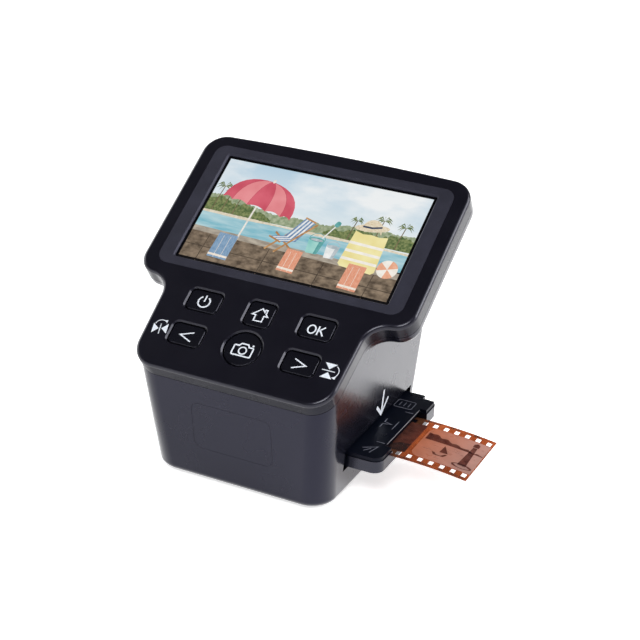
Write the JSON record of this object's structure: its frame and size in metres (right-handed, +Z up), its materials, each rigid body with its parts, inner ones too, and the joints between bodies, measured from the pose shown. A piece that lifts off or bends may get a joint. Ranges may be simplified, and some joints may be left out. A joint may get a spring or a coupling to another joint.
{
  "type": "film negative scanner",
  "caption": "Desktop scanner for strips of film: sloping screen head with key panel on a tapered foot, with a film tray that slides through a slot in its sides.",
  "frame": {"origin": "on the table under the middle of the whole object's box, level with the feet's undersides", "axes": "+Z up, +X towards the side where the film comes out (right, seen from the front), +Y towards the back"},
  "size_m": [0.1485, 0.1031, 0.1165],
  "materials": {
    "front_gloss": "polished near-black moulding",
    "housing_satin": "satin dark grey moulding",
    "base_matte": "fine matte moulding",
    "foot_rubber": "matte rubber",
    "screw_steel": "zinc plated",
    "badge_satin": "satin, bare",
    "bezel_textured": "fine grained moulding",
    "screen_glass": "clear, polished",
    "lcd_module": "lit display panel",
    "sheet_metal": "thin pressed sheet",
    "key_gloss": "polished near-black caps",
    "board_green": "solder mask",
    "switch_white": "plain moulding",
    "chip_black": "moulded packages",
    "socket_metal": "tinned shell",
    "light_white": "white reflecting moulding",
    "led_phosphor": "phosphor dome",
    "diffuser": "opal plate",
    "gate_black": "light-trapping matte",
    "spring_steel": "spring strip",
    "barrel_black": "black anodised",
    "lens_glass": "coated, polished",
    "sensor_glass": "image sensor window",
    "ribbon_amber": "polyimide film",
    "tray_black": "satin near-black moulding",
    "film_base": "orange masked negative film"
  },
  "bodies": {
    "housing": {"front_cover": "front_gloss", "rear_housing": "housing_satin", "base_plate": "base_matte", "rubber_feet": "foot_rubber", "base_screws": "screw_steel", "cover_screws": "screw_steel", "badge_plate": "badge_satin", "screen_bezel": "bezel_textured", "display_glass": "screen_glass", "lcd_panel": "lcd_module", "lcd_frame": "sheet_metal", "key_board": "board_green", "key_switches": "switch_white", "main_board": "board_green", "board_chips": "chip_black", "usb_c_socket": "socket_metal", "mini_hdmi_socket": "socket_metal", "sd_card_socket": "socket_metal", "light_box": "light_white", "backlight_board": "light_white", "backlight_leds": "led_phosphor", "diffuser_plate": "diffuser", "lower_gate": "gate_black", "upper_gate": "gate_black", "detent_spring": "spring_steel", "lens_bracket": "gate_black", "lens_barrel": "barrel_black", "lens_elements": "lens_glass", "sensor_board": "board_green", "image_sensor": "sensor_glass", "display_ribbon": "ribbon_amber", "sensor_ribbon": "ribbon_amber"},
    "power_key": {"power_button": "key_gloss"},
    "home_key": {"home_button": "key_gloss"},
    "ok_key": {"ok_button": "key_gloss"},
    "left_key": {"left_button": "key_gloss"},
    "right_key": {"right_button": "key_gloss"},
    "capture_key": {"capture_button": "key_gloss"},
    "tray": {"tray_base": "tray_black", "tray_lid": "tray_black", "tray_hinge_pins": "screw_steel"},
    "film": {"film_strip": "film_base"}
  },
  "joints": [
    {"name": "power_press", "type": "slide", "parent": "housing", "child": "power_key", "axis": [0, 0.5446, -0.8387], "range_m": [0, 0.0007], "stiffness_N_per_m": 400, "springref_m": -0.001},
    {"name": "home_press", "type": "slide", "parent": "housing", "child": "home_key", "axis": [0, 0.5446, -0.8387], "range_m": [0, 0.0007], "stiffness_N_per_m": 400, "springref_m": -0.001},
    {"name": "ok_press", "type": "slide", "parent": "housing", "child": "ok_key", "axis": [0, 0.5446, -0.8387], "range_m": [0, 0.0007], "stiffness_N_per_m": 400, "springref_m": -0.001},
    {"name": "left_press", "type": "slide", "parent": "housing", "child": "left_key", "axis": [0, 0.5446, -0.8387], "range_m": [0, 0.0007], "stiffness_N_per_m": 400, "springref_m": -0.001},
    {"name": "right_press", "type": "slide", "parent": "housing", "child": "right_key", "axis": [0, 0.5446, -0.8387], "range_m": [0, 0.0007], "stiffness_N_per_m": 400, "springref_m": -0.001},
    {"name": "capture_press", "type": "slide", "parent": "housing", "child": "capture_key", "axis": [0, 0.5446, -0.8387], "range_m": [0, 0.0007], "stiffness_N_per_m": 400, "springref_m": -0.001},
    {"name": "tray_slide", "type": "slide", "parent": "housing", "child": "tray", "axis": [1, 0, 0], "range_m": [0, 0.082]},
    {"name": "film_slide", "type": "slide", "parent": "tray", "child": "film", "axis": [1, 0, 0], "range_m": [-0.005, 0.084]}
  ]
}
